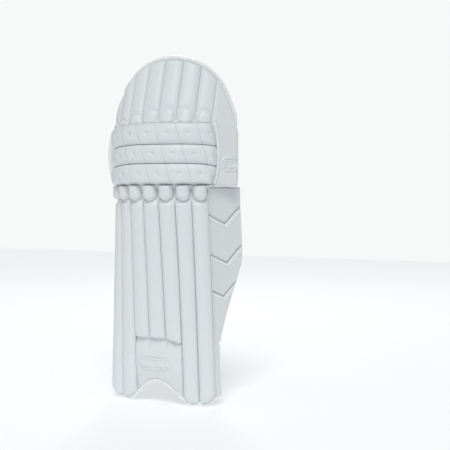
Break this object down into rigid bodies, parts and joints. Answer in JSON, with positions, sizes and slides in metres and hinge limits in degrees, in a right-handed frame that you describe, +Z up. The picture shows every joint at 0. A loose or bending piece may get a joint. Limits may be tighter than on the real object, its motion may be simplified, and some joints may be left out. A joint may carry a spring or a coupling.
{
  "type": "cricket leg pad",
  "caption": "Left-leg cricket batting pad: ribbed shin, three padded knee rolls, domed top, side wing, leg cushions and three rear straps.",
  "frame": {"origin": "middle of the pad's outline on the surface it stands on", "axes": "+Z up the leg, -Y out of the ribbed front face, +X towards the outer side of the leg, where the wing is; the leg goes on the +Y side"},
  "size_m": [0.2789, 0.2052, 0.6996],
  "materials": {
    "cover_leather": "satin off-white coated leather, fine grain",
    "lining": "smooth pale grey-green lining",
    "foam": "white sheet foam filling",
    "board": "stiff felted foam sheet",
    "towelling": "white towelling",
    "strap_web": "woven off-white webbing",
    "hook_tape": "white hook tape",
    "tab_rubber": "moulded lilac grip tab",
    "piping": "white coated piping",
    "cushion": "quilted off-white lining cloth"
  },
  "bodies": {
    "shin": {"shin_board": "board", "shin_front_cover": "cover_leather", "shin_rib_core_1": "foam", "shin_rib_core_2": "foam", "shin_rib_core_3": "foam", "shin_rib_core_4": "foam", "shin_rib_core_5": "foam", "shin_rib_core_6": "foam", "shin_rib_core_7": "foam", "instep_pad": "foam", "instep_binding": "piping", "shin_lining": "lining", "inner_edge_welt": "piping", "outer_bolster_filling": "foam", "outer_bolster_cover": "cushion", "inner_bolster_filling": "foam", "inner_bolster_cover": "cushion", "shin_cushion_filling": "foam", "shin_cushion_cover": "cushion", "ankle_landing": "strap_web"},
    "knee": {"knee_board": "board", "knee_roll_1_filling": "foam", "knee_roll_1_cover": "cover_leather", "knee_roll_2_filling": "foam", "knee_roll_2_cover": "cover_leather", "knee_roll_3_filling": "foam", "knee_roll_3_cover": "cover_leather", "outer_knee_panel_foam": "foam", "outer_knee_panel_cover": "cover_leather", "inner_knee_panel": "cover_leather", "knee_cup": "lining", "knee_pad": "lining", "knee_landing": "strap_web"},
    "top_hat": {"top_board": "board", "top_front_cover": "cover_leather", "top_rib_core_2": "foam", "top_rib_core_3": "foam", "top_rib_core_4": "foam", "top_rib_core_5": "foam", "top_rib_core_6": "foam", "top_rib_core_7": "foam", "top_liner": "lining", "top_binding": "piping"},
    "calf_wing": {"wing_lining": "lining", "wing_segment_1": "cover_leather", "wing_segment_2": "cover_leather", "wing_segment_3": "cover_leather", "wing_segment_4": "cover_leather", "wing_binding": "piping", "calf_landing": "strap_web"},
    "knee_fastening": {"knee_strap": "strap_web", "knee_hook_tape": "hook_tape", "knee_tab": "tab_rubber"},
    "calf_fastening": {"calf_strap": "strap_web", "calf_hook_tape": "hook_tape", "calf_tab": "tab_rubber"},
    "ankle_fastening": {"ankle_strap": "strap_web", "ankle_hook_tape": "hook_tape", "ankle_tab": "tab_rubber"},
    "flap": {"knee_flap": "towelling"}
  },
  "joints": [
    {"name": "knee_flex", "type": "hinge", "parent": "shin", "child": "knee", "pos_m": [0, 0.029, 0.44], "axis": [-1, 0, 0], "range_deg": [0, 12], "stiffness_Nm_per_rad": 3},
    {"name": "top_flex", "type": "hinge", "parent": "knee", "child": "top_hat", "pos_m": [0, 0.009, 0.565], "axis": [-1, 0, 0], "range_deg": [0, 18], "stiffness_Nm_per_rad": 2},
    {"name": "wing_flex", "type": "hinge", "parent": "shin", "child": "calf_wing", "pos_m": [0.09176, -0.02773, 0.2805], "axis": [-0.0379, -0.0244, 0.999], "range_deg": [0, 12], "stiffness_Nm_per_rad": 1},
    {"name": "knee_strap_swing", "type": "hinge", "parent": "knee", "child": "knee_fastening", "pos_m": [-0.13832, -0.00561, 0.464], "axis": [0, 0, 1], "range_deg": [0, 110]},
    {"name": "calf_strap_swing", "type": "hinge", "parent": "shin", "child": "calf_fastening", "pos_m": [-0.11749, -0.01993, 0.327], "axis": [0, 0, 1], "range_deg": [0, 110]},
    {"name": "ankle_strap_swing", "type": "hinge", "parent": "shin", "child": "ankle_fastening", "pos_m": [-0.1269, -0.0187, 0.144], "axis": [0, 0, 1], "range_deg": [0, 110]},
    {"name": "knee_flap_swing", "type": "hinge", "parent": "knee", "child": "flap", "pos_m": [0.12235, 0.02141, 0.52], "axis": [0, 0, -1], "range_deg": [0, 60]}
  ]
}
